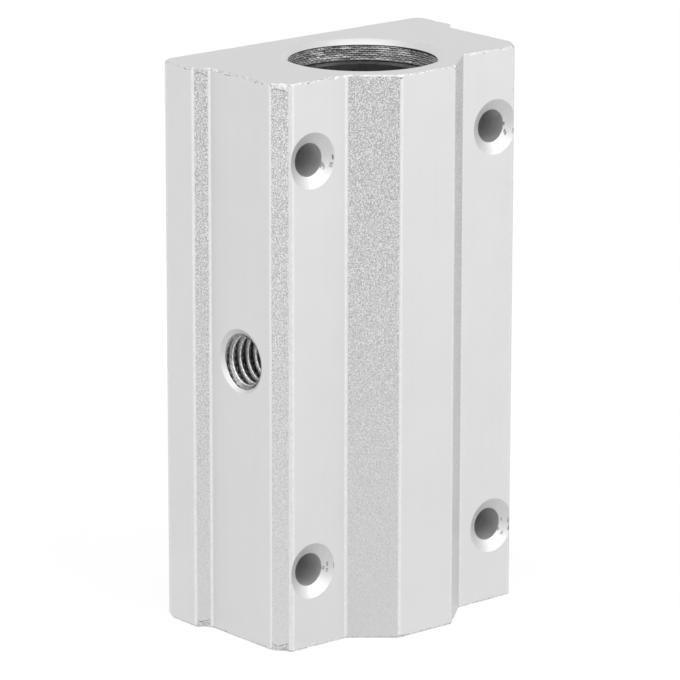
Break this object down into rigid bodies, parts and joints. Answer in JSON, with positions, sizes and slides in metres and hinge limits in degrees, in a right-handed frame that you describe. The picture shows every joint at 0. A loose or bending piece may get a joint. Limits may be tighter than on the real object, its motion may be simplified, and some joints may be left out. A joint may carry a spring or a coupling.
{
  "type": "linear bearing block",
  "caption": "Long linear bearing block: an extruded aluminium housing bored for two recirculating ball bushings on one shaft, with screw holes and a grease port.",
  "frame": {"origin": "on the shaft axis, at the middle of the block's length", "axes": "+Z along the shaft; +Y out of the flat mounting face; -X out of the side with the grease port. The block stands on the -Z end face."},
  "size_m": [0.034, 0.021, 0.058],
  "materials": {
    "housing": "satin, extruded and anodised, with machined ends and holes",
    "circlip": "spring steel, oiled",
    "bearing_steel": "ground bearing steel",
    "balls": "polished bearing steel",
    "cage_resin": "moulded resin",
    "seal_rubber": "matt rubber"
  },
  "bodies": {
    "root": {"housing": "housing", "circlip_top": "circlip", "circlip_bottom": "circlip", "upper_sleeve": "bearing_steel", "upper_ball_cage": "cage_resin", "upper_ball_circuit_1": "balls", "upper_ball_circuit_2": "balls", "upper_ball_circuit_3": "balls", "upper_ball_circuit_4": "balls", "upper_end_ring_top": "circlip", "upper_end_seal_top": "seal_rubber", "upper_end_ring_bottom": "circlip", "upper_end_seal_bottom": "seal_rubber", "lower_sleeve": "bearing_steel", "lower_ball_cage": "cage_resin", "lower_ball_circuit_1": "balls", "lower_ball_circuit_2": "balls", "lower_ball_circuit_3": "balls", "lower_ball_circuit_4": "balls", "lower_end_ring_top": "circlip", "lower_end_seal_top": "seal_rubber", "lower_end_ring_bottom": "circlip", "lower_end_seal_bottom": "seal_rubber"}
  },
  "joints": []
}
